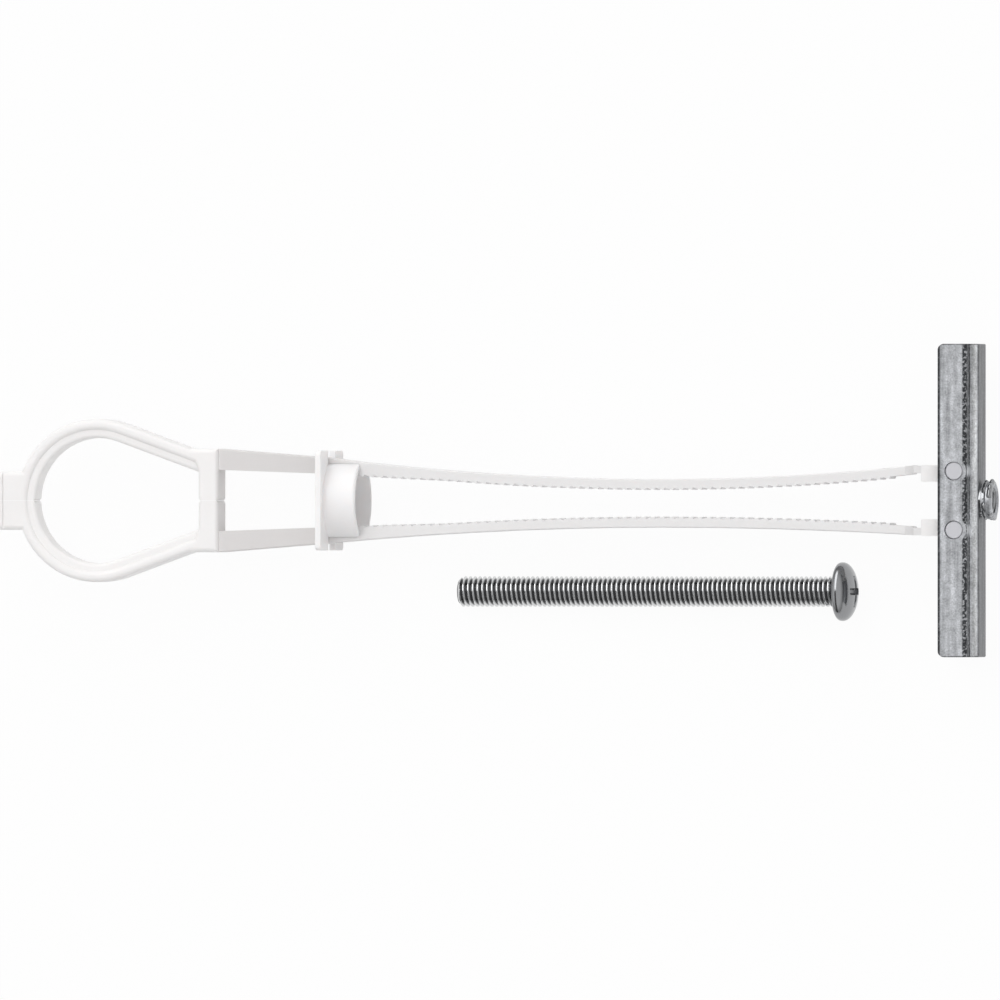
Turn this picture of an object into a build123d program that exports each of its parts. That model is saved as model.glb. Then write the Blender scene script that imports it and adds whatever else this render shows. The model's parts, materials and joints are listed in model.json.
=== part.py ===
from build123d import *
import os
from math import acos, atan2, cos, degrees, hypot, sin, sqrt

# Toggle bolt: a steel channel that bears on the back of a wall, two toothed plastic straps that
# hold it, a cap that slides along the straps into the hole, and its loose machine screw.
# Millimetres. The origin is on the bolt axis, on the outer face of the channel's web.
# +X runs along the bolt axis, away from the handle, +Y along the channel, +Z up.

# Channel
channel_length = 50.0
channel_width = 10.6
channel_depth = 6.2
sheet = 1.0
rib_width = 5.7
rib_height = 1.43
shoulder_bend = 0.55
rib_bend = 0.4
inner_bend = 0.25
free_corner = 1.1
free_edge_round = 0.25
web_corner = 0.3

# Pivots, where the strap ends hang in the channel
pivot_spacing = 9.4
pivot_from_edge = 2.67
pivot_hole_radius = 1.5
pivot_clearance = 0.08
pad_radius = 2.35
trunnion_recess = 0.12
trunnion_chamfer = 0.15
open_pivot_gap = 0.1

# Drawn and tapped collar
thread_hole_radius = 2.1
collar_height = 2.1
collar_neck_radius = 2.7
collar_bead_radius = 3.05
collar_bead_from = 0.75
collar_bead_round = 0.45
collar_lead_in = 0.3
collar_entry = 0.25

# Straps
strap_width = 4.5
strap_thickness = 1.75
strap_thickness_at_bar = 3.4
taper_start = 88.0
strap_end = 10.9
end_chamfer = 0.3
end_taper_length = 1.25
end_taper_width = 0.75
strap_edge_round = 0.2
waist_from_web = 52.0
strap_reach_at_channel = 5.44
reach_point_at_channel = 12.5
strap_reach_at_cap = 6.93
strap_reach_at_bar = 8.3
waist_reach_upper = 3.43
waist_reach_lower = 4.33
tooth_pitch = 1.54
tooth_height = 0.35
tooth_drop = 0.16
first_tooth = 14.5
last_tooth = 104.5

# Strap ends: a thin neck, then a block that carries the trunnions
neck_thickness = 1.2
neck_width = 3.0
neck_overlap = 0.3
neck_set_in = 0.1
block_start = 9.25
block_width = 7.2
block_above_pivot = 0.95
block_below_pivot = 1.7
block_round = 0.25

# Handle
handle_width = 5.7
bar_right = 124.7
bar_thickness = 3.35
split_notch = 0.4
ring_centre = 144.9
ring_outer_radius = 13.08
ring_wall = 3.04
outer_band = 1.76
band_step = 0.5
flare_end_from_bar = 1.4
split_gap = 0.05
tab_length = 3.37
tab_half_height = 4.7
tab_root_depth = 1.0
tab_groove_from_end = 1.15
tab_groove_depth = 0.25
tab_groove_width = 0.3
tab_corner = 0.8
handle_edge_round = 0.75
inner_band_round = 0.6

# Cap
cap_face = 107.6
cap_length = 6.1
flange_size = 16.0
flange_thickness = 0.95
flange_corner = 0.8
flange_edge_round = 0.2
body_radius = 6.35
body_edge_round = 0.45
body_wall = 0.75
body_recess = 4.0
cap_bore_radius = 2.6
slot_floor = 3.0
slot_side_clearance = 0.2
pawl_height = 0.35
pawl_length = 0.8

# Screw
screw_radius = 2.45
screw_length = 63.0
screw_chamfer = 0.5
head_radius = 4.7
head_rim = 0.8
head_height = 3.0
head_edge_round = 0.6
recess_span = 5.0
recess_slot = 1.1
recess_depth = 1.9
recess_taper = 12.0
screw_axis_y = -14.56
screw_head_x = -23.8

# How far joined shapes run into each other, how far cutters run past a face, and how closely a
# coordinate is matched
overlap = 0.1
cut_margin = 1.0
tolerance = 0.01

# Places that follow from the sizes above
half_width = channel_width / 2
inside_half_width = half_width - sheet
shoulder_x = -rib_height
pivot_x = pivot_from_edge - channel_depth
pivot_y = pivot_spacing / 2
trunnion_radius = pivot_hole_radius - pivot_clearance
cap_middle = cap_face - cap_length / 2
half_gap = split_gap / 2
cap_end = cap_length - cap_face
pad_reach = half_width - rib_width / 2
bar_left = -bar_right - bar_thickness
bar_middle = -bar_right - bar_thickness / 2
ring_inner_radius = ring_outer_radius - ring_wall
tab_end = ring_centre + ring_outer_radius + tab_length
flare_end = bar_left - flare_end_from_bar
flare_run = flare_end + ring_centre
flare_turn = atan2(strap_reach_at_bar, flare_run) + acos(
    ring_outer_radius / hypot(strap_reach_at_bar, flare_run))


def channel_section():
    """The sheet's cross-section in X and Z: a U whose web is pressed in along both corners."""
    rib = rib_width / 2
    outer = [(-channel_depth, half_width), (shoulder_x, half_width), (shoulder_x, rib), (0, rib)]
    inner = [(-channel_depth, inside_half_width), (shoulder_x - sheet, inside_half_width),
             (shoulder_x - sheet, rib - sheet), (-sheet, rib - sheet)]
    half = outer + [(x, -z) for x, z in reversed(outer)]
    back = [(x, -z) for x, z in inner] + list(reversed(inner))
    section = make_face(Polyline(*half, *back, close=True).edges())
    for corners, radius in (
        ([outer[0]], free_edge_round), ([outer[1]], shoulder_bend), ([outer[3]], rib_bend),
        ([outer[2]], inner_bend),
        ([inner[1]], inner_bend), ([inner[3]], inner_bend),
    ):
        places = [(x, side * z) for x, z in corners for side in (1, -1)]
        chosen = [v for v in section.vertices()
                  if any(abs(v.X - x) + abs(v.Y - z) < tolerance for x, z in places)]
        section = fillet(chosen, radius)
    return section


def along_channel(section, length):
    """A section drawn in X and Z, carried along Y and centred on Y = 0."""
    plane = Plane(origin=(0, length / 2, 0), x_dir=(1, 0, 0), z_dir=(0, -1, 0))
    return extrude(plane * section, length)


def channel_outline():
    """The channel seen from its side: free corners well rounded, web corners almost square."""
    outline = Pos(-channel_depth / 2, 0) * Rectangle(channel_depth, channel_length)
    outline = fillet(outline.vertices().group_by(Axis.X)[0], free_corner)
    outline = fillet(outline.vertices().group_by(Axis.X)[-1], web_corner)
    return extrude(outline, half_width + cut_margin, both=True)


def pivot_pad():
    """The round flat about a pivot hole that is left unpressed, on the upper flange."""
    height = pad_reach + overlap
    pad = Pos(pivot_x, 0, half_width - height / 2) * Cylinder(pad_radius, height)
    return pad & Pos(shoulder_x, 0, 0) * Box(
        2 * (shoulder_bend + overlap), 2 * pad_radius, channel_width)


def channel():
    body = along_channel(channel_section(), channel_length)
    pad = pivot_pad()
    for side in (1, -1):
        body += Pos(0, side * pivot_y, 0) * (pad + mirror(pad, Plane.XY))
        body -= Pos(pivot_x, side * pivot_y, 0) * Cylinder(
            pivot_hole_radius, channel_width + cut_margin)
    body &= channel_outline()
    return body + collar() - thread_bore()


def around_bolt_axis(points):
    """A closed profile of distances along X and radii, turned about the bolt axis."""
    return revolve(make_face(Polyline(*points, close=True).edges()), Axis.X)


def collar():
    bead = collar_bead_radius
    neck = collar_neck_radius
    shape = around_bolt_axis([
        (-sheet / 2, 0), (-sheet / 2, neck), (collar_bead_from, neck),
        (collar_bead_from + bead - neck, bead), (collar_height, bead), (collar_height, 0),
    ])
    mouth = shape.edges().filter_by(GeomType.CIRCLE).sort_by(Axis.X)[-1]
    return fillet(mouth, collar_bead_round)


def thread_bore():
    """The hole at the thread's minor radius, wider inside the rib, where the collar was drawn."""
    r, lead, entry = thread_hole_radius, collar_lead_in, collar_entry
    past = collar_height + cut_margin
    return around_bolt_axis([
        (-channel_depth, 0), (-channel_depth, r + entry), (-sheet, r + entry),
        (-sheet + entry, r), (collar_height - lead, r),
        (collar_height, r + lead), (past, r + lead), (past, 0),
    ])


def outer_reach(x, waist):
    """How far the strap's outer edge is from the axis: two parabolas that meet at the waist."""
    if x < -waist_from_web:
        share = (-waist_from_web - x) / (cap_face - waist_from_web)
        return waist + (strap_reach_at_cap - waist) * share**2
    share = (x + waist_from_web) / (waist_from_web - reach_point_at_channel)
    return waist + (strap_reach_at_channel - waist) * share**2


def thickness(x):
    """The strap's thickness over its teeth, which grows towards the crossbar."""
    share = max(0.0, (-taper_start - x) / (bar_right - taper_start))
    return strap_thickness + share * (strap_thickness_at_bar - strap_thickness)


def tip(x, waist):
    return x, outer_reach(x, waist) - thickness(x)


def root(x, waist):
    return x, outer_reach(x, waist) - thickness(x) + tooth_height


def toothed_edge(waist):
    """Points along the inner edge from the channel's side: each tooth drops steeply on that side
    and rises slowly from the other."""
    points = [root(-strap_end - end_chamfer, waist)]
    x = -first_tooth
    while x - tooth_pitch > -last_tooth:
        points += [root(x, waist), tip(x - tooth_drop * tooth_pitch, waist)]
        x -= tooth_pitch
    return points + [root(x, waist)]


def strap_plan(waist):
    """The strap in X and Y, on the upper side, from inside the crossbar to its chamfered end."""
    last = -strap_end
    reach = outer_reach(last, waist)
    at_bar = strap_reach_at_bar - strap_thickness_at_bar
    outside = [
        Line((bar_middle, strap_reach_at_bar), (-bar_right, strap_reach_at_bar)),
        Line((-bar_right, strap_reach_at_bar), (-cap_face, strap_reach_at_cap)),
        Bezier((-cap_face, strap_reach_at_cap), ((-cap_face - waist_from_web) / 2, waist),
               (-waist_from_web, waist)),
        Bezier((-waist_from_web, waist), ((last - waist_from_web) / 2, waist), (last, reach)),
    ]
    back = Polyline(
        (last, reach), (last, root(last, waist)[1] + end_chamfer),
        *toothed_edge(waist), tip(-cap_face, waist), (-bar_right, at_bar), (bar_middle, at_bar),
        (bar_middle, strap_reach_at_bar),
    )
    return make_face(outside + back.edges())


def strap_width_plan():
    """The strap seen from its edge, in X and Z: full width, tapering at its end."""
    half, length = strap_width / 2, -bar_middle
    side = [(-length, half), (-strap_end - end_taper_length, half),
            (-strap_end, half - end_taper_width)]
    outline = make_face(Polyline(*side, *[(x, -z) for x, z in reversed(side)], close=True).edges())
    return extrude(Plane.XZ * outline, -2 * strap_reach_at_bar)


def strap(waist):
    solid = extrude(strap_plan(waist), strap_width / 2, both=True) & strap_width_plan()
    curved = [e for e in solid.edges() if abs(abs(e.center().Z) - strap_width / 2) < tolerance
              and e.geom_type == GeomType.BEZIER]
    return fillet(curved, strap_edge_round)


def pear(radius, right):
    """A pear shape: an arc about the ring's centre, and tangents that flare to its right end."""
    side = Line((-ring_centre + radius * cos(flare_turn), radius * sin(flare_turn)),
                (right, flare_height(radius, right)))
    other_side = mirror(side, Plane.XZ)
    return make_face([
        ThreePointArc(other_side @ 0, (-ring_centre - radius, 0), side @ 0), side,
        Line(side @ 1, other_side @ 1), other_side,
    ])


def flare_height(radius, x):
    """How far from the axis the pear's tangent is at a distance along it."""
    return (radius - (x + ring_centre) * cos(flare_turn)) / sin(flare_turn)


def crossbar_plan():
    """The crossbar with the corners where the ring's flare and the straps run into it."""
    half = [(bar_left, flare_height(ring_inner_radius, bar_left)), (flare_end, strap_reach_at_bar),
            (-bar_right, strap_reach_at_bar)]
    return make_face(Polyline(*half, *[(x, -y) for x, y in reversed(half)], close=True).edges())


def tab_plan():
    """The tab, which runs into the ring's outer band."""
    length = tab_length + tab_root_depth
    tab = Pos(-tab_end + length / 2, 0) * Rectangle(length, 2 * tab_half_height)
    return fillet(tab.vertices().group_by(Axis.X)[0], tab_corner)


def outer_band_and_bar():
    plan = pear(ring_outer_radius, bar_left) - pear(ring_outer_radius - outer_band, bar_left)
    solid = extrude(plan + crossbar_plan() + tab_plan(), handle_width / 2, both=True)
    rims = [e for e in solid.edges() if abs(abs(e.center().Z) - handle_width / 2) < tolerance]
    solid = fillet(rims, handle_edge_round)
    groove = Box(tab_groove_width, 2 * tab_half_height, tab_groove_depth)
    for side in (1, -1):
        solid -= Pos(tab_groove_from_end - tab_end, 0,
                     side * (handle_width - tab_groove_depth) / 2) * groove
    return solid


def inner_band():
    """The ring's inner band, a step lower than the outer one on both faces."""
    outside = pear(ring_outer_radius - outer_band + overlap, bar_middle)
    solid = extrude(outside - pear(ring_inner_radius, bar_left), handle_width / 2 - band_step,
                    both=True)
    ends = solid.faces().sort_by(Axis.Z)
    rims = [e for face in (ends[0], ends[-1]) for e in face.inner_wires()[0].edges()]
    return fillet(rims, inner_band_round)


def handle():
    """The upper half of the handle, split along its middle and notched at the split's ends."""
    solid = outer_band_and_bar() + inner_band()
    reach = ring_outer_radius + cut_margin
    solid &= Pos(-ring_centre, half_gap + reach / 2, 0) * Box(
        2 * (tab_end - bar_left), reach, handle_width)
    side = sqrt(2) * (split_notch + half_gap)
    for x in (bar_left, -bar_right, -ring_centre - ring_inner_radius):
        solid -= Pos(x, 0, 0) * Rot(0, 0, 45) * Box(side, side, handle_width + cut_margin)
    return solid


def strap_end_block(trunnion_half_length):
    """The thin neck, the block and the trunnions, on the upper side."""
    top, bottom = pivot_y + block_above_pivot, pivot_y - block_below_pivot
    length = block_start + pivot_x
    block = Pos(pivot_x - length / 2, (top + bottom) / 2) * Rectangle(length, top - bottom)
    block = extrude(fillet(block.vertices(), block_round), block_width / 2, both=True)
    neck_length = strap_end - block_start + 2 * neck_overlap
    neck = Pos(-(strap_end + block_start) / 2, top - neck_thickness / 2 - neck_set_in, 0) * Box(
        neck_length, neck_thickness, neck_width)
    trunnions = Cylinder(trunnion_radius, 2 * trunnion_half_length)
    trunnions = chamfer(trunnions.edges().filter_by(GeomType.CIRCLE), trunnion_chamfer)
    return block + neck + Pos(pivot_x, pivot_y, 0) * trunnions


def strap_half(waist, trunnion_half_length):
    return handle() + strap(waist) + strap_end_block(trunnion_half_length)


def cap():
    flange = Plane.YZ.offset(-cap_face) * RectangleRounded(flange_size, flange_size, flange_corner)
    flange = extrude(flange, flange_thickness)
    flange = fillet(flange.faces().sort_by(Axis.X)[0].edges(), flange_edge_round)
    body = extrude(Plane.YZ.offset(-cap_face) * Circle(body_radius), cap_length)
    body = fillet(body.faces().sort_by(Axis.X)[-1].edges(), body_edge_round)
    floor = Plane.YZ.offset(cap_end - body_recess)
    solid = flange + body - extrude(
        floor * Circle(body_radius - body_wall), body_recess + cut_margin)
    cut_length = cap_length + 2 * cut_margin
    solid -= extrude(Plane.YZ.offset(-cap_face - cut_margin) * Circle(cap_bore_radius), cut_length)
    slot_height = flange_size / 2 - slot_floor + cut_margin
    slot = Box(cut_length, slot_height, strap_width + 2 * slot_side_clearance)
    for side in (1, -1):
        solid -= Pos(-cap_middle, side * (slot_floor + slot_height / 2), 0) * slot
        pawl = pawl_wedge()
        solid += pawl if side == 1 else mirror(pawl, Plane.XZ)
    return solid


def pawl_wedge():
    """A ramp on a slot's floor, steep on the handle's side, that catches the strap's teeth."""
    back = cap_end - body_recess
    wedge = make_face(Polyline(
        (back, slot_floor - overlap), (back - pawl_length, slot_floor - overlap),
        (back - pawl_length, slot_floor + pawl_height), close=True).edges())
    return extrude(wedge, strap_width / 2 + slot_side_clearance, both=True)


def screw():
    """The screw along X, its bearing face at X = 0 and its shank towards -X."""
    profile = make_face([
        *Polyline((head_height, 0), (-screw_length, 0), (-screw_length, screw_radius - screw_chamfer),
                  (-screw_length + screw_chamfer, screw_radius), (0, screw_radius), (0, head_radius),
                  (head_rim, head_radius)).edges(),
        EllipticalCenterArc((head_rim, 0), head_height - head_rim, head_radius, arc_size=90),
    ])
    corner = profile.vertices().sort_by_distance((0, head_radius))[0]
    solid = revolve(fillet(corner, head_edge_round), Axis.X)
    top = Plane(origin=(head_height, 0, 0), x_dir=(0, 1, 0), z_dir=(-1, 0, 0))
    cross = Rectangle(recess_span, recess_slot) + Rectangle(recess_slot, recess_span)
    return solid - extrude(top * cross, recess_depth, taper=recess_taper)


def lying_screw():
    """The screw on the plane that the cap's flange and the channel lie on, touching it with the
    rim of its head and the end of its shank."""
    floor_rise = (flange_size / 2 - half_width) / (cap_face - flange_thickness - channel_depth)
    floor_angle = atan2(floor_rise, 1)
    shank_angle = atan2(head_radius - screw_radius,
                        screw_length - screw_chamfer + head_edge_round)
    turn = floor_angle + shank_angle
    touch_x = screw_head_x + head_edge_round * cos(turn) + head_radius * sin(turn)
    floor_height = -flange_size / 2 + floor_rise * (touch_x + cap_face - flange_thickness)
    axis_height = floor_height + head_radius * cos(turn) - head_edge_round * sin(turn)
    return Pos(screw_head_x, screw_axis_y, axis_height) * Rot(0, -degrees(turn), 0) * screw()


def build():
    os.makedirs("parts", exist_ok=True)
    nodes = {
        "channel": channel(),
        "strap_upper": strap_half(waist_reach_upper, half_width - trunnion_recess),
        "strap_lower": mirror(
            strap_half(waist_reach_lower, inside_half_width - open_pivot_gap), Plane.XZ),
        "cap": cap(),
        "screw": lying_screw(),
    }
    for name, shape in nodes.items():
        export_step(shape, f"parts/{name}.step")


build()
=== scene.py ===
import json
from math import pi, radians, tan

import bmesh
import bpy
import numpy as np
from bpy.props import FloatProperty, FloatVectorProperty, IntProperty, PointerProperty
from mathutils import Matrix, Vector


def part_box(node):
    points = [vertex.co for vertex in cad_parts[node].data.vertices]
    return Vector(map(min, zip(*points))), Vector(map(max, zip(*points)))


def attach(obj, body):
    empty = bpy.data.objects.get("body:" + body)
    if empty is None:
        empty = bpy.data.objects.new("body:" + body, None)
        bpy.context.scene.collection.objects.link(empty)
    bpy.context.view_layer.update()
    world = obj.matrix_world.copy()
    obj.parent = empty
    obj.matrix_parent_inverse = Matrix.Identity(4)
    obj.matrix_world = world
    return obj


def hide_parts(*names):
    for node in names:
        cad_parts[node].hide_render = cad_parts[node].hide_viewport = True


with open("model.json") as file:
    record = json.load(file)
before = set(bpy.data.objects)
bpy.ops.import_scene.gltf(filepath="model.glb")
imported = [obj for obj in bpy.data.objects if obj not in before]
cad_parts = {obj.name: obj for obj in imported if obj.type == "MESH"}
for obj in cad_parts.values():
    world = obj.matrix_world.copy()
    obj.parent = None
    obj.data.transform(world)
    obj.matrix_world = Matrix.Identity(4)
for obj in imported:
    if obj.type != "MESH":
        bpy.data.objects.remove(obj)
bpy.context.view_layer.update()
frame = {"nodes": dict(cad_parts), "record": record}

bl_info = {
    "name": "Toggle Bolt",
    "version": (1, 0, 0),
    "blender": (4, 5, 0),
    "location": "3D View > Sidebar > Toggle Bolt",
    "description": "Threads, finishes and a studio for a strap toggle bolt and its screw",
    "category": "Add Mesh",
}

MM = 0.001
MOUNTS = {mount["name"]: mount for mount in frame["record"]["mounts"]}
SHANK = MOUNTS["screw_shank"]
NUT = MOUNTS["bolt_thread"]
PIVOT = frame["record"]["behaviour"]["joints"][0]["pos_m"]

# Outline of the thread, about 60 degrees: distances from the crest in pitches, heights there, and
# a distance in the middle of a flank
THREAD_REACH = (0, 0.05, 0.075, 0.36, 0.42, 0.5)
THREAD_RISE = (1, 1, 0.96, 0.07, 0.02, 0)
MID_FLANK = 0.215
# Waves around the collar's swelling and its bead: how many around it, height and phase
LOW_WAVES = ((3, 1, 0.4), (7, 0.8, 1.3), (13, 0.6, 2.0), (22, 0.3, 0))
BEAD_WAVES = ((2, 1, 0.6), (5, 0.8, 2.1), (11, 0.6, 0), (19, 0.35, 0.9))
# Points closer than the first are merged, and edges shorter than the second are taken out
MERGE, LEAST_EDGE = 2e-7, 1e-7
# The straps' colour at distances in mm: the handle, the arms, the thin straps and the end blocks
# The arms' and thin straps' darker colours are painted shade
STRAP_PAINTED_SHADE = ((-125.3, "plastic"), (-124.3, "plastic_arm_shaded"), (-108, "plastic_arm_shaded"),
                 (-101, "plastic_thin_shaded"), (-9.6, "plastic_thin_shaded"), (-9, "plastic"))


# Sizes and colours

def length(name, description, default):
    return FloatProperty(name=name, description=description, default=default, min=0.0,
                         precision=5, unit="LENGTH", subtype="DISTANCE")


def share(name, description, default):
    return FloatProperty(name=name, description=description, default=default,
                         min=0.0, max=1.0, subtype="FACTOR")


def colour(name, description, default):
    return FloatVectorProperty(name=name, description=description, default=default,
                               size=3, min=0.0, max=1.0, subtype="COLOR")


def offset(name, description, default):
    return FloatProperty(name=name, description=description, default=default, precision=5,
                         unit="LENGTH")


def strength(name, description, default):
    return FloatProperty(name=name, description=description, default=default, min=0.0)


class ScrewSettings(bpy.types.PropertyGroup):
    """The machine screw: its thread, head and cross recess."""

    pitch: length("Pitch", "Distance from one turn of the thread to the next", 0.8 * MM)
    crest_radius: length("Crest radius", "Radius over the thread's crests",
                         SHANK["dims"]["r_mm"] * MM)
    groove_depth: length("Groove depth", "Depth of the thread", 0.46 * MM)
    tip_chamfer: length("Tip chamfer", "Chamfer at the end of the shank", 0.5 * MM)
    neck_radius: length("Neck radius", "Radius where the thread runs out at the head", 2.2 * MM)
    run_out: length("Run-out", "Length over which the thread fades below the head", 0.7 * MM)
    head_radius: length("Head radius", "Radius of the head", 4.7 * MM)
    head_rim: length("Head rim", "Height of the head's straight rim", 0.8 * MM)
    head_height: length("Head height", "Height of the head over its bearing face", 3.0 * MM)
    rim_round: length("Rim rounding", "Rounding of the head's lower edge", 0.6 * MM)
    recess_span: length("Recess span", "Length of each arm of the cross recess", 5.0 * MM)
    recess_slot: length("Recess slot", "Width of each arm of the cross recess", 1.1 * MM)
    recess_depth: length("Recess depth", "Depth of the recess at its centre", 1.9 * MM)
    recess_slope: FloatProperty(name="Recess slope", default=1.35, min=0.1,
                                description="How steeply the arms deepen towards the centre")
    recess_draft: FloatProperty(name="Recess draft", description="Lean of the recess's side walls",
                                default=radians(9), min=0.01, subtype="ANGLE")
    columns: IntProperty(name="Columns", default=80, min=16,
                         description="Faces around the screw, a multiple of eight")


class CollarSettings(bpy.types.PropertyGroup):
    """The drawn collar on the channel, with its tapped bore."""

    neck_radius: length("Neck radius", "Radius of the collar where it leaves the web", 2.73 * MM)
    bead_radius: length("Bead radius", "Radius of the rolled bead at the mouth", 3.08 * MM)
    height: length("Height", "Height of the collar over the web", 2.1 * MM)
    bore_radius: length("Bore radius", "Radius of the bore between the turns of the thread",
                        NUT["dims"]["r_mm"] * MM)
    ridge: length("Ridge", "How far the thread stands into the bore", 0.16 * MM)
    swelling_from: length("Swelling", "Distance of the low swelling from the web", 0.55 * MM)
    crumple: share("Crumple", "How unevenly the bead was drawn", 0.14)
    columns: IntProperty(name="Columns", description="Faces around the collar", default=128,
                         min=16)


class TrunnionSettings(bpy.types.PropertyGroup):
    """The lower strap's trunnions where they pass through the channel's flanges."""

    radius: length("Radius", "Radius of the trunnions", 1.42 * MM)
    inner_face: length("Inner face", "Distance of the inner faces from the middle", 4.25 * MM)
    outer_face: length("Outer face", "Distance of the outer faces from the middle", 5.18 * MM)
    chamfer: length("Chamfer", "Chamfer around the outer faces", 0.15 * MM)
    columns: IntProperty(name="Columns", description="Faces around a trunnion", default=64, min=12)


class FinishSettings(bpy.types.PropertyGroup):
    """Colours and textures of the plastic and the plated steel."""

    plastic: colour("Plastic", "Natural white of the handle", (0.89, 0.875, 0.87))
    # The thin straps and the arms are the same plastic painted darker: painted shade
    plastic_thin_shaded: colour("Thin plastic", "The same plastic in the thin straps",
                         (0.795, 0.785, 0.785))
    plastic_arm_shaded: colour("Arm plastic", "The same plastic between crossbar and cap",
                        (0.69, 0.67, 0.665))
    plastic_cap: colour("Cap plastic", "Natural white of the cap", (0.9, 0.885, 0.885))
    # The trunnions' end faces are painted grey: painted shade of their recess in the flanges
    trunnion: colour("Trunnion ends", "Colour of the trunnions' end faces", (0.57, 0.57, 0.6))
    zinc: colour("Zinc", "Plating of the channel", (0.47, 0.48, 0.5))
    # Painted shade: this dark colour on the channel's shoulders, free edges and ends
    zinc_painted_shade: colour("Scuffed zinc", "Plating where the press scuffed it",
                         (0.05, 0.052, 0.056))
    # Painted shade: the rib's top is darker
    zinc_rib_top_shade: colour("Worn zinc", "Plating on the rib's top", (0.16, 0.163, 0.172))
    # Painted light: the rib's sides are lighter
    zinc_rib_side_light: colour("Rubbed zinc", "Plating on the rib's sides", (0.7, 0.71, 0.72))
    # Painted shade: the collar and the screw's head get a darker copy of the thread's plating
    shaded_zinc: colour("Bright zinc", "Plating of the collar and the screw's head",
                        (0.29, 0.294, 0.302))
    thread_zinc: colour("Thread zinc", "Plating of the screw's thread", (0.66, 0.665, 0.67))
    # Painted shade: near-black deep in the thread's grooves
    groove_shade_zinc: colour("Groove zinc", "Plating deep in the thread", (0.05, 0.05, 0.053))


class StageSettings(bpy.types.PropertyGroup):
    """Camera, floor and light."""

    camera_turn: FloatProperty(name="Camera turn", default=radians(13), subtype="ANGLE",
                               description="How far the camera leans to the channel's side")
    camera_distance: length("Camera distance", "From the aim point to the camera", 7.0)
    view_width: length("View width", "Width of the view at the aim point", 160 * MM)
    aim_right: offset("Aim right", "Aim point along the view's width", -76.99 * MM)
    aim_up: offset("Aim up", "Aim point along the view's height", 0.08 * MM)
    aim_depth: offset("Aim depth", "Aim point along the view", -17 * MM)
    floor_size: length("Floor size", "Length of the floor's sides", 8.0)
    floor: colour("Floor", "Colour of the floor", (0.8, 0.8, 0.8))
    floor_lift: share("Floor lift", "Share of plain white that the floor shows", 0.95)
    sky_low: strength("Lower sky", "Strength of the sky on the part's lower side", 0.99)
    sky_high: strength("Upper sky", "Strength of the sky on the part's upper side", 0.92)
    slot_dark: strength("Dark slot", "Strength of the slot's dark half", 0.1)
    slot_bright: strength("Bright slot", "Strength of the slot's bright half", 3.2)
    slot_place: FloatProperty(name="Slot place", default=-0.22, min=-1.0, max=1.0,
                              description="Middle of the slot, as the X part of its direction")
    slot_width: share("Slot width", "Width of the slot, as an X part of a direction", 0.4)
    horizon: share("Horizon", "Share of the sky's strength that is left at the horizon", 0.45)


# Mesh code

def helix_phase(distance, angle, pitch):
    """Where a point lies within a turn, from -0.5 to 0.5 with the crest at 0: the distance along
    the axis in pitches, less the share of a turn, brought into one period."""
    return (distance / pitch - angle / (2 * pi) + 0.5) % 1.0 - 0.5


def thread_height(phase):
    """Height of the thread, 1 at the crest and 0 at the root: flat within a twentieth of the pitch
    of the crest, then straight flanks, then a root that levels out."""
    return np.interp(np.abs(phase), THREAD_REACH, THREAD_RISE)


def grid_faces(rows, columns, wrap=False, slip=0):
    """The quads of a grid of points, row by row. With wrap, the last column meets the first one,
    slip rows further on."""
    last = columns if wrap else columns - 1
    i, j = np.meshgrid(np.arange(rows - 1), np.arange(last), indexing="ij")
    right = (j + 1) % columns
    shift = np.where(j + 1 == columns, slip, 0)
    faces = np.stack([i * columns + j, i * columns + j + columns,
                      (i + shift + 1) * columns + right, (i + shift) * columns + right], -1)
    return faces[(i + shift + 1) < rows]


def new_piece(name, surfaces, material, smooth_to=radians(32)):
    """One object from several grids: the points that meet are merged, faces without area are
    taken out, and the normals are turned outwards."""
    points, faces, start = [], [], 0
    for xyz, quads in surfaces:
        points.append(xyz.reshape(-1, 3))
        faces.append(quads.reshape(-1, 4) + start)
        start += len(points[-1])
    mesh = bpy.data.meshes.new(name)
    mesh.from_pydata(np.concatenate(points).tolist(), [], np.concatenate(faces).tolist())
    shape = bmesh.new()
    shape.from_mesh(mesh)
    bmesh.ops.remove_doubles(shape, verts=shape.verts, dist=MERGE)
    bmesh.ops.dissolve_degenerate(shape, edges=shape.edges, dist=LEAST_EDGE)
    bmesh.ops.recalc_face_normals(shape, faces=shape.faces)
    shape.to_mesh(mesh)
    shape.free()
    mesh.polygons.foreach_set("use_smooth", [True] * len(mesh.polygons))
    mesh.set_sharp_from_angle(angle=smooth_to)
    mesh.materials.append(material)
    piece = bpy.data.objects.new(name, mesh)
    bpy.context.scene.collection.objects.link(piece)
    return piece


def turned(profile, angles):
    """A profile of (distance, radius) turned about the X axis: distance, radius times the cosine
    and radius times the sine of each angle."""
    x, r = np.asarray(profile, float).T
    return np.stack([np.broadcast_to(x[:, None], (len(x), len(angles))),
                     np.outer(r, np.cos(angles)), np.outer(r, np.sin(angles))], -1)


def arc(centre, radius, start, end, steps):
    """Points on a quarter or less of a circle in a profile, from one angle to another."""
    t = np.linspace(start, end, steps)
    return np.stack([centre[0] + radius * np.cos(t), centre[1] + radius * np.sin(t)], -1)


def screw_angles(columns):
    """Evenly spaced angles that start at a corner of the square patch around the recess."""
    return -pi / 4 + np.arange(columns) * 2 * pi / columns


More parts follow.
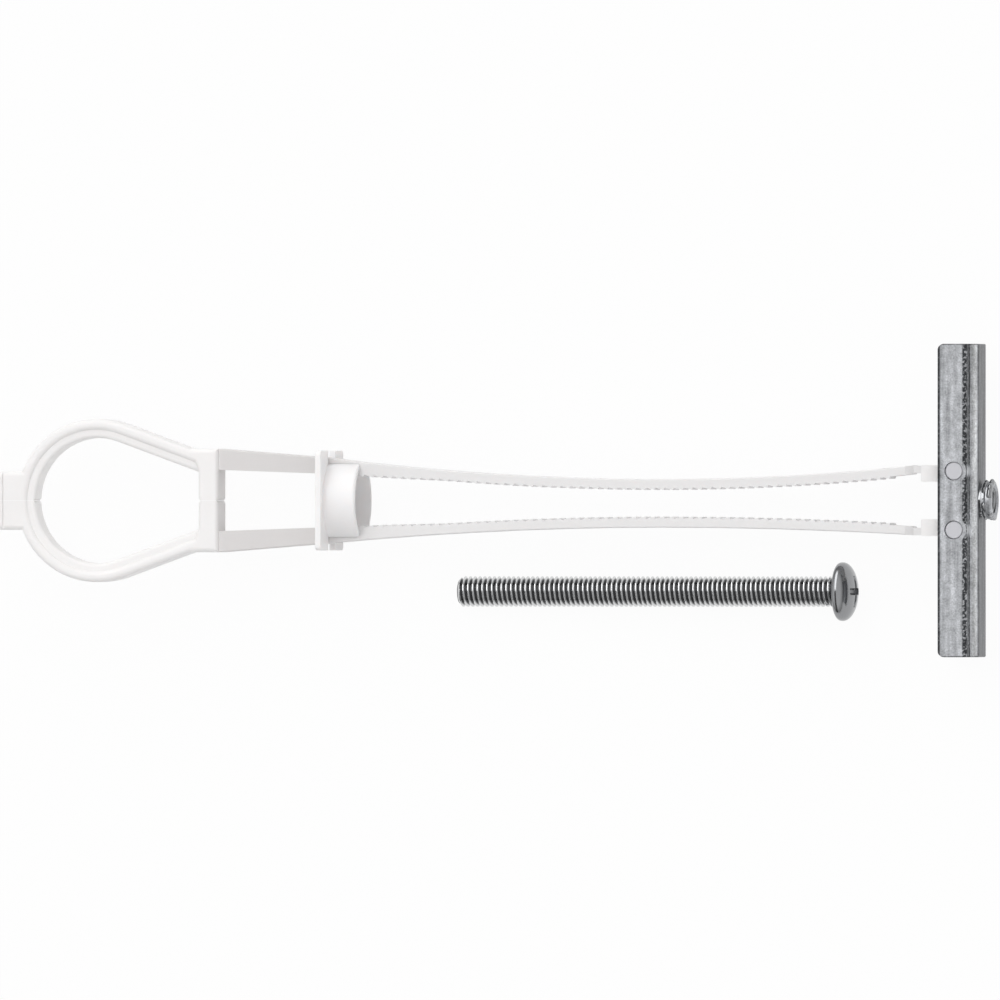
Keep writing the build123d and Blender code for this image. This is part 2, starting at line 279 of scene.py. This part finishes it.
def shank_surface(s, shank_length):
    """The threaded shank: rows follow the helix, so each row keeps one height of the thread. The
    radius is the root plus the thread's height, cut by the cone of the tip's chamfer and led to
    the neck's radius under the head. Rows that pass an end are laid on it."""
    angles = screw_angles(s.columns)
    corners = np.array([*THREAD_REACH[1:3], MID_FLANK, *THREAD_REACH[3:5]])
    phases = np.concatenate([-corners[::-1], corners])
    turns = np.arange(-1, int(shank_length / s.pitch) + 3)
    rows = (turns[:, None] + phases).ravel() * s.pitch
    along = np.clip(rows[:, None] + (angles - angles[0]) / (2 * pi) * s.pitch, 0, shank_length)
    height = thread_height(helix_phase(along, angles - angles[0], s.pitch))
    radius = s.crest_radius - s.groove_depth * (1 - height)
    fade = np.clip((shank_length - along) / s.run_out, 0, 1)
    radius = s.neck_radius + (radius - s.neck_radius) * fade * fade * (3 - 2 * fade)
    radius = np.minimum(radius, s.crest_radius - s.tip_chamfer + along)
    points = np.stack([along - shank_length, radius * np.cos(angles), radius * np.sin(angles)], -1)
    return points, grid_faces(*radius.shape, wrap=True, slip=len(phases))


def dome_top(s, distance_out):
    """Height of the domed head at a distance from its axis: a quarter of an ellipse that meets
    the straight rim in line and levels out at the crown."""
    share_out = np.minimum(distance_out / s.head_radius, 1)
    return s.head_rim + (s.head_height - s.head_rim) * np.sqrt(1 - share_out**2)


def recess_floor(s, y, z):
    """Depth of the cross recess: in each arm the least of the full depth, a slope from the arm's
    end and the steep side walls, and over both arms the greater."""
    def arm(along, across):
        side = (s.recess_slot / 2 - np.abs(across)) / tan(s.recess_draft)
        end = (s.recess_span / 2 - np.abs(along)) * s.recess_slope
        return np.minimum(np.minimum(side, end), s.recess_depth)
    return np.maximum(np.maximum(arm(y, z), arm(z, y)), 0)


def head_surfaces(s):
    """The head: a turned underside, rim and shoulder, then a ring that leads from a circle, at a
    share of the head's radius, to the square patch in which the cross recess is sunk below the
    dome. The patch's rows are closest where the recess has its walls and ends."""
    angles = screw_angles(s.columns)
    r, rim, edge = s.head_radius, s.head_rim, s.rim_round
    circle_share, shoulder_rows, edge_rows, ring_rows = 0.84, 9, 5, 5
    outer = r * np.sin(np.linspace(pi / 2, np.arcsin(circle_share), shoulder_rows)[1:])
    profile = np.concatenate([
        [(0, s.neck_radius), (0, r - edge)],
        arc((edge, r - edge), edge, pi, pi / 2, edge_rows)[1:],
        [(rim, r)], np.stack([dome_top(s, outer), outer], -1),
    ])
    stops = np.concatenate([s.recess_slot / 2 * np.array([0, 0.5, 0.74, 1, 1.15]),
                            s.recess_span / 2 * np.array([0.36, 0.5, 0.65, 0.82, 1, 1.05])])
    steps = np.interp(np.linspace(0, 1, s.columns // 8 + 1), np.linspace(0, 1, len(stops)), stops)
    across = np.concatenate([-steps[:0:-1], steps])
    y, z = np.meshgrid(across, across, indexing="ij")
    x = dome_top(s, np.hypot(y, z)) - recess_floor(s, y, z)
    patch = np.stack([x, y, z], -1)
    border = np.concatenate([patch[-1, :-1], patch[:0:-1, -1], patch[0, :0:-1], patch[:-1, 0]])
    outside = turned(profile[-1:], angles)[0]
    t = np.linspace(0, 1, ring_rows)[:, None, None]
    ring = outside + (border - outside) * t
    ring[..., 0] = dome_top(s, np.hypot(ring[..., 1], ring[..., 2]))
    return [
        (turned(profile, angles), grid_faces(len(profile), s.columns, wrap=True)),
        (ring, grid_faces(len(t), s.columns, wrap=True)),
        (patch, grid_faces(len(across), len(across))),
    ]


def tip_surface(s, shank_length, rows=4):
    """The flat end of the shank: rings from the chamfer's edge to the middle."""
    radii = np.linspace(s.crest_radius - s.tip_chamfer, 0, rows)
    profile = np.stack([np.full(rows, -shank_length), radii], -1)
    return turned(profile, screw_angles(s.columns)), grid_faces(rows, s.columns, wrap=True)


def screw_placement():
    """The matrix from the screw's own axes, where its bearing face is at 0 and its shank runs to
    -X, to where it lies, and the shank's length."""
    axis = Vector(SHANK["axis"]).normalized()
    measured = SHANK["dims"]["length_mm"] * MM
    bearing = Vector(SHANK["pos_m"]) - axis * measured / 2
    side = Vector((0, 1, 0))
    placed = Matrix((-axis, side, (-axis).cross(side))).transposed().to_4x4()
    return Matrix.Translation(bearing) @ placed, measured


def store_groove(piece, s, to_own_axes):
    """An attribute from 0 on the thread's crests to 1 at its roots, and -1 on the head."""
    co = np.empty(len(piece.data.vertices) * 3)
    piece.data.vertices.foreach_get("co", co)
    turn, shift = np.array(to_own_axes)[:3, :3], np.array(to_own_axes)[:3, 3]
    own = co.reshape(-1, 3) @ turn.T + shift
    depth = (s.crest_radius - np.hypot(own[:, 1], own[:, 2])) / s.groove_depth
    below_head = own[:, 0] < -s.tip_chamfer / 10
    depth = np.where(below_head, np.clip(depth, 0, 1), -1)
    groove = piece.data.attributes.new("groove", "FLOAT", "POINT")
    groove.data.foreach_set("value", depth.astype(np.float32))


def trunnion_surfaces(s):
    """Two short round ends, one in each flange: a turned outline from the inner face's middle,
    over the side and the chamfer, to the outer face's middle."""
    outline = [(s.inner_face, 0), (s.inner_face, s.radius), (s.outer_face - s.chamfer, s.radius),
               (s.outer_face, s.radius - s.chamfer), (s.outer_face, 0)]
    ends = turned(outline, np.arange(s.columns) * 2 * pi / s.columns)
    faces = grid_faces(len(outline), s.columns, wrap=True)
    middle = np.array([PIVOT[0], -PIVOT[1], 0])
    return [(ends[..., [1, 2, 0]] * (1, 1, side) + middle, faces) for side in (1, -1)]


def wave_sum(angles, waves):
    """Sine waves of the angle, added up."""
    return sum(height * np.sin(count * angles + phase) for count, height, phase in waves)


def collar_surface(s, pitch):
    """The collar as a closed ring: up the neck, over a low swelling and the rolled bead, into the
    mouth, down the tapped bore and back inside the wall. Sums of sine waves of the angle make the
    swelling and the bead lumpy, each in its own way, and the bore carries the thread's height."""
    angles = np.arange(s.columns) * 2 * pi / s.columns
    top, neck, bead, bore = s.height, s.neck_radius, s.bead_radius, s.bore_radius
    sunk, in_wall, bore_skin, bore_end = 0.2 * MM, 0.1 * MM, 0.012 * MM, -0.72 * MM
    mouth_drop, mouth_chamfer, lead_in = 0.04 * MM, 0.16 * MM, 0.3 * MM
    low_rows, bead_rows, bore_rows = 7, 10, 46
    roll = (bead - neck) * 1.4
    foot = [(-sunk, neck - in_wall), (-sunk, neck), (sunk, neck)]
    mouth = [(top - mouth_drop, bead - 1.25 * roll), (top - mouth_chamfer, bore + mouth_chamfer)]
    along = np.linspace(top - lead_in, bore_end, bore_rows)[:, None]
    profile = np.concatenate([
        foot,
        arc((s.swelling_from + roll / 2, bead - 1.3 * roll), roll, pi * 0.9, pi * 0.25, low_rows),
        arc((top - roll, bead - roll), roll, pi * 0.8, 0, bead_rows),
        mouth,
        np.hstack([along, np.full_like(along, bore - bore_skin)]),
        [(bore_end, bore + in_wall)],
    ])
    scale = np.ones((len(profile), s.columns))
    row = len(foot)
    for rows, level_end, waves in ((low_rows, 0.3, LOW_WAVES), (bead_rows, 0.4, BEAD_WAVES)):
        swell = np.sin(np.linspace(0.3, pi - level_end, rows))
        scale[row:row + rows] += s.crumple * np.outer(swell, wave_sum(angles, waves)) / 2
        row += rows
    fade = np.clip((top - lead_in - along) / lead_in, 0, 1)
    turns = thread_height(helix_phase(along, angles, pitch))
    scale[row + len(mouth):-1] -= s.ridge / bore * fade * turns
    points = turned(profile, angles)
    points[..., 1:] *= scale[..., None]
    closed = np.concatenate([points, points[:1]])
    return closed, grid_faces(len(closed), s.columns, wrap=True)


# Material code

def rgba(values):
    return (*values, 1.0)


def feed(tree, socket, value):
    """Links a socket to another one, or gives it a plain number or colour."""
    if hasattr(value, "is_output"):
        tree.links.new(value, socket)
    else:
        socket.default_value = rgba(value) if socket.type == "RGBA" else value


def add(tree, kind, **values):
    """A node with its own settings. The other names are those of its sockets, each of which is
    fed by another socket or a plain value."""
    node = tree.nodes.new(kind)
    for name, value in values.items():
        if name in node.bl_rna.properties:
            setattr(node, name, value)
        else:
            feed(tree, node.inputs[name.replace("_", " ")], value)
    return node


def fill(tree, node, *values):
    """Feeds a node's sockets in their order and gives back its first output."""
    for socket, value in zip(node.inputs, values):
        feed(tree, socket, value)
    return node.outputs[0]


def reckon(tree, operation, *values, **settings):
    """The result of a math node."""
    return fill(tree, add(tree, "ShaderNodeMath", operation=operation, **settings), *values)


def remap(tree, value, start, end, low=0.0, high=1.0, **settings):
    """A value brought from one range into another, and held within it."""
    return add(tree, "ShaderNodeMapRange", Value=value, From_Min=start, From_Max=end, To_Min=low,
               To_Max=high, **settings).outputs[0]


def new_group(name, inputs, outputs):
    """An empty shader group. Inputs are (name, default), outputs are (name, socket type)."""
    group = bpy.data.node_groups.new(name, "ShaderNodeTree")
    for label, default in inputs:
        socket = group.interface.new_socket(label, in_out="INPUT", socket_type="NodeSocketFloat")
        socket.default_value = default
    for label, kind in outputs:
        group.interface.new_socket(label, in_out="OUTPUT", socket_type=kind)
    ends = group.nodes.new("NodeGroupInput"), group.nodes.new("NodeGroupOutput")
    return group, *ends


def grain_group():
    """Uneven surface: coarse patches and fine grain mixed to one height, given as a shade around
    1, a roughness around the one put in, and a bumped normal."""
    group, given, out = new_group("surface_grain", [
        ("Patch Scale", 300.0), ("Grain Scale", 3000.0), ("Shade Swing", 0.1),
        ("Roughness", 0.4), ("Roughness Swing", 0.1), ("Bump", 0.1),
    ], [("Shade", "NodeSocketFloat"), ("Roughness", "NodeSocketFloat"),
        ("Normal", "NodeSocketVector")])
    given = given.outputs
    place = add(group, "ShaderNodeTexCoord").outputs["Object"]
    patch = add(group, "ShaderNodeTexNoise", Vector=place, Scale=given["Patch Scale"], Detail=4.0,
                Roughness=0.6)
    grain = add(group, "ShaderNodeTexNoise", Vector=place, Scale=given["Grain Scale"], Detail=3.0,
                Roughness=0.65)
    height = add(group, "ShaderNodeMix", Factor=0.5, A=patch.outputs["Fac"],
                 B=grain.outputs["Fac"]).outputs["Result"]
    centred = reckon(group, "SUBTRACT", height, 0.5)
    for label, middle in (("Shade", 1.0), ("Roughness", given["Roughness"])):
        swing = reckon(group, "MULTIPLY_ADD", centred, given[label + " Swing"], middle)
        group.links.new(swing, out.inputs[label])
    bump = add(group, "ShaderNodeBump", Strength=given["Bump"], Distance=0.05 * MM, Height=height)
    group.links.new(bump.outputs["Normal"], out.inputs["Normal"])
    return group


def band_group():
    """A soft-edged mask: 1 around the middle, and 0 from half the width away from it."""
    group, given, out = new_group("band", [
        ("Value", 0.0), ("Middle", 0.0), ("Half Width", 0.001), ("Softness", 0.0002),
    ], [("Mask", "NodeSocketFloat")])
    given = given.outputs
    offset_there = reckon(group, "SUBTRACT", given["Value"], given["Middle"])
    distance = reckon(group, "ABSOLUTE", offset_there)
    inside = reckon(group, "SUBTRACT", given["Half Width"], distance)
    mask = reckon(group, "DIVIDE", inside, given["Softness"], use_clamp=True)
    group.links.new(mask, out.inputs["Mask"])
    return group


def shared_group(name, make):
    """The group of that name, made when it is first asked for."""
    return bpy.data.node_groups.get(name) or make()


def use_group(tree, name, make, **values):
    """A node of a shared group, with its sockets fed."""
    return add(tree, "ShaderNodeGroup", node_tree=shared_group(name, make), **values)


def grain_node(tree, **values):
    return use_group(tree, "surface_grain", grain_group, **values)


def band_mask(tree, **values):
    return use_group(tree, "band", band_group, **values).outputs["Mask"]


def new_material(name, **shader_values):
    """A material, its node tree and its shader, whose sockets are set by their names."""
    material = bpy.data.materials.new(name)
    material.use_nodes = True
    tree = material.node_tree
    shader = tree.nodes["Principled BSDF"]
    for socket, value in shader_values.items():
        shader.inputs[socket.replace("_", " ")].default_value = value
    return material, tree, shader


def connect(tree, shader, made, surface):
    """Gives a shader its colour, and the roughness and normal of its uneven surface."""
    tree.links.new(made, shader.inputs["Base Color"])
    for name in ("Roughness", "Normal"):
        tree.links.new(surface.outputs[name], shader.inputs[name])


def tint(tree, factor, below, above, **settings):
    """Mixes two colours, each a socket or plain values, by a mask."""
    node = add(tree, "ShaderNodeMix", data_type="RGBA", **settings)
    for index, value in ((0, factor), (6, below), (7, above)):
        feed(tree, node.inputs[index], value)
    return node.outputs[2]


def shaded(tree, base, shade):
    """A colour, a socket or plain values, times a grey shade."""
    return tint(tree, 1.0, base, shade, blend_type="MULTIPLY")


def object_axes(tree):
    """The three outputs that say where a point lies on its object."""
    place = add(tree, "ShaderNodeTexCoord").outputs["Object"]
    return add(tree, "ShaderNodeSeparateXYZ", Vector=place).outputs


def along_x(tree, x, stops):
    """A colour that changes along the part, from pairs of a distance and a colour."""
    start, end = stops[0][0], stops[-1][0]
    ramp = add(tree, "ShaderNodeValToRGB", Fac=remap(tree, x, start, end))
    elements = ramp.color_ramp.elements
    while len(elements) < len(stops):
        elements.new(0.5)
    for element, (distance, colour_there) in zip(elements, stops):
        element.position = (distance - start) / (end - start)
        element.color = rgba(colour_there)
    return ramp.outputs["Color"]


def plastic_material(name, see_through):
    """Satin moulded plastic, still without its colour: faint cloudiness and fine texture."""
    material, tree, shader = new_material(
        name, IOR=1.5, Subsurface_Weight=see_through, Subsurface_Scale=1.0 * MM,
        Subsurface_Radius=(1.0, 0.9, 0.85))
    surface = grain_node(tree, Patch_Scale=220.0, Grain_Scale=2600.0, Shade_Swing=0.06,
                         Roughness=0.42, Roughness_Swing=0.12, Bump=0.12)
    return material, tree, shader, surface


def cap_material(f):
    material, tree, shader, surface = plastic_material("cap_plastic_satin", 0.6)
    connect(tree, shader, shaded(tree, f.plastic_cap, surface.outputs["Shade"]), surface)
    return material


def strap_material(f):
    """The straps' colour changes along them: the arms and thin straps are painted darker than the
    handle and the end blocks, as painted shade. The ends of their trunnions, which stand out from
    the blocks' faces around the pivot, are painted greyer, as painted shade of their recess in the
    flanges."""
    material, tree, shader, surface = plastic_material("strap_plastic_satin", 0.12)
    x, _, z = object_axes(tree)
    # Painted shade: darker on the arms and thin straps
    stops = [(distance * MM, getattr(f, name)) for distance, name in STRAP_PAINTED_SHADE]
    made = shaded(tree, along_x(tree, x, stops), surface.outputs["Shade"])
    # Painted shade: greyer trunnion ends, standing in for the shade of their recess
    over = remap(tree, reckon(tree, "ABSOLUTE", z), 4.1 * MM, 4.2 * MM)
    near = band_mask(tree, Value=x, Middle=PIVOT[0], Half_Width=2.5 * MM, Softness=0.1 * MM)
    made = tint(tree, reckon(tree, "MULTIPLY", over, near), made, f.trunnion)
    connect(tree, shader, made, surface)
    return material


def channel_material(f):
    """Zinc-plated sheet: mottled plating with streaks along the rolled sheet, painted light on the
    rib's sides, and bands of painted shade on the pressed shoulders, the flanges' free edges, the
    ends and the rib's top."""
    material, tree, shader = new_material("zinc_sheet", Metallic=1.0)
    surface = grain_node(tree, Patch_Scale=900.0, Grain_Scale=3600.0, Shade_Swing=1.9,
                         Roughness=0.42, Roughness_Swing=0.35, Bump=0.5)
    place = add(tree, "ShaderNodeTexCoord").outputs["Object"]
    rolled = add(tree, "ShaderNodeMapping", Vector=place, Scale=(1.0, 0.1, 1.0))
    streaks = add(tree, "ShaderNodeTexNoise", Vector=rolled.outputs[0], Scale=1100.0, Detail=2.0)
    streak_shade = remap(tree, streaks.outputs["Fac"], 0.3, 0.7, 0.7, 1.25)
    band_noise = add(tree, "ShaderNodeTexNoise", Vector=place, Scale=2300.0, Detail=3.0)
    patchy = remap(tree, band_noise.outputs["Fac"], 0.36, 0.5)
    x, y, _ = object_axes(tree)
    out_along = reckon(tree, "ABSOLUTE", y)
    folded = add(tree, "ShaderNodeCombineXYZ", X=x, Y=out_along)
    from_pivot = add(tree, "ShaderNodeVectorMath", operation="DISTANCE")
    fill(tree, from_pivot, folded.outputs[0], PIVOT)
    off_pads = remap(tree, from_pivot.outputs["Value"], 1.95 * MM, 2.1 * MM)
    # Bands across an axis: the middle and half the width in mm, the least share of the colour
    # between the noise's patches, the colour, and a mask. They are painted light on the rib's
    # sides, and painted shade on the pressed shoulder off the pivots' pads, the flanges' free
    # edges, the ends, and the rib's top.
    made = f.zinc
    for axis, middle, half, least, colour_there, where in (
            (x, -0.75, 0.55, 1.0, f.zinc_rib_side_light, 1.0),
            (x, -1.75, 0.5, 0.15, f.zinc_painted_shade, off_pads),
            (x, -6.2, 0.55, 0.8, f.zinc_painted_shade, 1.0),
            (out_along, 25.0, 0.25, 0.6, f.zinc_painted_shade, 1.0),
            (x, 0.0, 0.25, 0.8, f.zinc_rib_top_shade, 1.0)):
        mask = band_mask(tree, Value=axis, Middle=middle * MM, Half_Width=half * MM,
                         Softness=0.22 * MM)
        uneven = remap(tree, patchy, 0.0, 1.0, least)
        mask = reckon(tree, "MULTIPLY", reckon(tree, "MULTIPLY", mask, uneven), where)
        made = tint(tree, mask, made, colour_there)
    for shade in (surface.outputs["Shade"], streak_shade):
        made = shaded(tree, made, shade)
    connect(tree, shader, made, surface)
    return material


def bright_material(name, base, roughness, thread=()):
    """Bright zinc plating. With a thread, given as its colour and its grooves' colour, a groove
    attribute says where they go: it is -1 on the head and goes from 0 to 1 down the thread. The
    base on the head is a darker copy of the thread's plating and the grooves' colour is
    near-black: both are painted shade."""
    material, tree, shader = new_material(name, Metallic=1.0)
    surface = grain_node(tree, Patch_Scale=900.0, Grain_Scale=5000.0, Shade_Swing=0.2,
                         Roughness=roughness, Roughness_Swing=0.2, Bump=0.12)
    made = shaded(tree, base, surface.outputs["Shade"])
    if thread:
        groove = add(tree, "ShaderNodeAttribute", attribute_name="groove").outputs["Fac"]
        # Painted shade: the head keeps the darker base and the grooves go near-black
        past_head, down_grooves = (-0.6, -0.4), (0.45, 0.95)
        for where, colour_there in zip((past_head, down_grooves), thread):
            made = tint(tree, remap(tree, groove, *where), made, colour_there)
    connect(tree, shader, made, surface)
    return material


def finish_node(name, material):
    """Gives a piece of the CAD model its material."""
    node = frame["nodes"][name]
    for slot in node.material_slots:
        slot.material = material


# Operators

class TOGGLE_OT_plastic(bpy.types.Operator):
    """Gives the straps and the cap their moulded plastic"""

    bl_idname = "toggle.plastic"
    bl_label = "Finish Plastic Parts"

    def execute(self, context):
        f = context.scene.toggle_finish
        strap = strap_material(f)
        for name in ("strap_upper", "strap_lower"):
            finish_node(name, strap)
        finish_node("cap", cap_material(f))
        return {"FINISHED"}


class TOGGLE_OT_channel(bpy.types.Operator):
    """Gives the channel its zinc plating"""

    bl_idname = "toggle.channel"
    bl_label = "Finish Channel"

    def execute(self, context):
        finish_node("channel", channel_material(context.scene.toggle_finish))
        return {"FINISHED"}


class TOGGLE_OT_collar(bpy.types.Operator):
    """Adds the drawn collar with its tapped bore"""

    bl_idname = "toggle.collar"
    bl_label = "Add Collar"

    def execute(self, context):
        # The collar takes the darker copy of the plating: painted shade
        shaded_zinc = context.scene.toggle_finish.shaded_zinc
        material = bright_material("bright_zinc_collar", shaded_zinc, 0.1)
        surface = collar_surface(context.scene.toggle_collar, context.scene.toggle_screw.pitch)
        piece = new_piece("tapped_collar", [surface], material)
        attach(piece, "channel")
        return {"FINISHED"}


class TOGGLE_OT_trunnions(bpy.types.Operator):
    """Adds the ends of the lower strap's trunnions in the channel's flanges"""

    bl_idname = "toggle.trunnions"
    bl_label = "Add Trunnion Ends"

    def execute(self, context):
        material = bpy.data.materials.get("strap_plastic_satin")
        if material is None:
            raise RuntimeError("the trunnion ends need the straps' plastic, which comes first")
        surfaces = trunnion_surfaces(context.scene.toggle_trunnions)
        piece = new_piece("trunnion_ends", surfaces, material)
        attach(piece, "channel")
        return {"FINISHED"}


class TOGGLE_OT_screw(bpy.types.Operator):
    """Adds the machine screw with its full thread and cross recess"""

    bl_idname = "toggle.screw"
    bl_label = "Add Screw"

    def execute(self, context):
        s = context.scene.toggle_screw
        if s.columns % 8:
            raise ValueError("the screw's columns have to be a multiple of eight")
        f = context.scene.toggle_finish
        # Painted shade: the head gets the darker copy of the plating and the grooves a near-black
        material = bright_material("bright_zinc_screw", f.shaded_zinc, 0.17,
                                   (f.thread_zinc, f.groove_shade_zinc))
        placed, measured = screw_placement()
        shank_length = measured + s.tip_chamfer
        surfaces = [shank_surface(s, shank_length), tip_surface(s, shank_length),
                    *head_surfaces(s)]
        piece = new_piece("machine_screw", surfaces, material)
        piece.data.transform(placed)
        store_groove(piece, s, placed.inverted())
        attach(piece, "strap_upper")
        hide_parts("screw")
        return {"FINISHED"}


def floor_corners(size):
    """Corners of the plane that carries the part: it touches the cap's flange and the channel's
    free edge, and runs on past both."""
    cap_low, channel_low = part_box("cap")[0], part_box("channel")[0]
    rise = (channel_low.z - cap_low.z) / (channel_low.x - cap_low.x)
    half = size / 2
    return [(x, y, cap_low.z + rise * (x - cap_low.x)) for x, y in
            ((-half, -half), (half, -half), (half, half), (-half, half))]


def floor_material(s):
    """Pale floor: its lit colour with the shadows, lifted by a share of plain white for the
    camera and for what mirrors it."""
    material, tree, shader = new_material("pale_floor", Roughness=0.9)
    shader.inputs["Base Color"].default_value = rgba(s.floor)
    path = add(tree, "ShaderNodeLightPath")
    seen = path.outputs["Is Camera Ray"]
    for ray in ("Is Glossy Ray", "Is Transmission Ray"):
        seen = reckon(tree, "MAXIMUM", seen, path.outputs[ray])
    amount = reckon(tree, "MULTIPLY", seen, s.floor_lift)
    white = add(tree, "ShaderNodeEmission")
    lifted = fill(tree, add(tree, "ShaderNodeMixShader"), amount, shader.outputs[0],
                  white.outputs[0])
    tree.links.new(lifted, tree.nodes["Material Output"].inputs["Surface"])
    return material


def light_sky(s):
    """A soft and almost even sky that is dimmer towards the horizon. A slot runs across it over
    the part, bright from overhead to one side and dark to the other, which polished metal
    mirrors."""
    world = bpy.data.worlds.new("studio")
    world.use_nodes = True
    tree = world.node_tree
    place = add(tree, "ShaderNodeTexCoord").outputs["Generated"]
    toward = add(tree, "ShaderNodeSeparateXYZ", Vector=place).outputs

    def glow(side_start, side_end, full_height, low, high):
        """From one side's strength to the other's, times the fall towards the horizon. Where
        they change is given as the Y and Z parts of a direction."""
        smooth = {"interpolation_type": "SMOOTHSTEP"}
        across = remap(tree, toward["Y"], side_start, side_end, low, high, **smooth)
        upward = remap(tree, toward["Z"], 0.0, full_height, s.horizon, 1.0, **smooth)
        return reckon(tree, "MULTIPLY", across, upward)

    around = glow(-0.6, 0.6, 0.6, s.sky_low, s.sky_high)
    inside = glow(0.02, 0.2, 0.3, s.slot_dark, s.slot_bright)
    slot = band_mask(tree, Value=toward["X"], Middle=s.slot_place, Half_Width=s.slot_width / 2,
                     Softness=0.08)
    strength_there = add(tree, "ShaderNodeMix", Factor=slot, A=around, B=inside)
    sky = tree.nodes["Background"]
    sky.inputs["Color"].default_value = rgba((1.0, 1.0, 1.0))
    tree.links.new(strength_there.outputs["Result"], sky.inputs["Strength"])
    bpy.context.scene.world = world


def place_camera(s):
    """The camera over the part, leaning to the channel's side, with +Y up in the view."""
    turn = Matrix.Rotation(s.camera_turn, 4, "Y")
    aim = turn @ Vector((s.aim_right, s.aim_up, s.aim_depth + s.camera_distance))
    data = bpy.data.cameras.new("camera")
    data.lens = data.sensor_width * s.camera_distance / s.view_width
    data.clip_end = 10 * s.camera_distance
    camera = bpy.data.objects.new("camera", data)
    camera.matrix_world = Matrix.Translation(aim) @ turn
    bpy.context.scene.collection.objects.link(camera)
    bpy.context.scene.camera = camera


class TOGGLE_OT_stage(bpy.types.Operator):
    """Adds the floor, the light and the camera"""

    bl_idname = "toggle.stage"
    bl_label = "Add Stage"

    def execute(self, context):
        s = context.scene.toggle_stage
        mesh = bpy.data.meshes.new("floor")
        mesh.from_pydata(floor_corners(s.floor_size), [], [(0, 1, 2, 3)])
        mesh.materials.append(floor_material(s))
        floor = bpy.data.objects.new("floor", mesh)
        context.scene.collection.objects.link(floor)
        light_sky(s)
        place_camera(s)
        context.scene.view_settings.view_transform = "Standard"
        return {"FINISHED"}


class TOGGLE_PT_panel(bpy.types.Panel):
    """Lists the pieces of the toggle bolt"""

    bl_idname = "TOGGLE_PT_panel"
    bl_label = "Toggle Bolt"
    bl_space_type = "VIEW_3D"
    bl_region_type = "UI"
    bl_category = "Toggle Bolt"

    def draw(self, context):
        for operator in OPERATORS:
            self.layout.operator(operator.bl_idname)
        for name in SETTINGS:
            box = self.layout.box()
            for label in getattr(context.scene, name).__annotations__:
                box.prop(getattr(context.scene, name), label)


OPERATORS = (TOGGLE_OT_plastic, TOGGLE_OT_channel, TOGGLE_OT_collar, TOGGLE_OT_trunnions,
             TOGGLE_OT_screw, TOGGLE_OT_stage)
SETTINGS = {"toggle_screw": ScrewSettings, "toggle_collar": CollarSettings,
            "toggle_trunnions": TrunnionSettings, "toggle_finish": FinishSettings,
            "toggle_stage": StageSettings}


def register():
    for group in SETTINGS.values():
        bpy.utils.register_class(group)
    for name, group in SETTINGS.items():
        setattr(bpy.types.Scene, name, PointerProperty(type=group))
    for operator in OPERATORS:
        bpy.utils.register_class(operator)
    bpy.utils.register_class(TOGGLE_PT_panel)


def unregister():
    bpy.utils.unregister_class(TOGGLE_PT_panel)
    for operator in reversed(OPERATORS):
        bpy.utils.unregister_class(operator)
    for name, group in SETTINGS.items():
        delattr(bpy.types.Scene, name)
        bpy.utils.unregister_class(group)


def main():
    register()
    for step in (bpy.ops.toggle.plastic, bpy.ops.toggle.channel, bpy.ops.toggle.collar,
                 bpy.ops.toggle.trunnions, bpy.ops.toggle.screw, bpy.ops.toggle.stage):
        step()


if __name__ == "__main__":
    main()
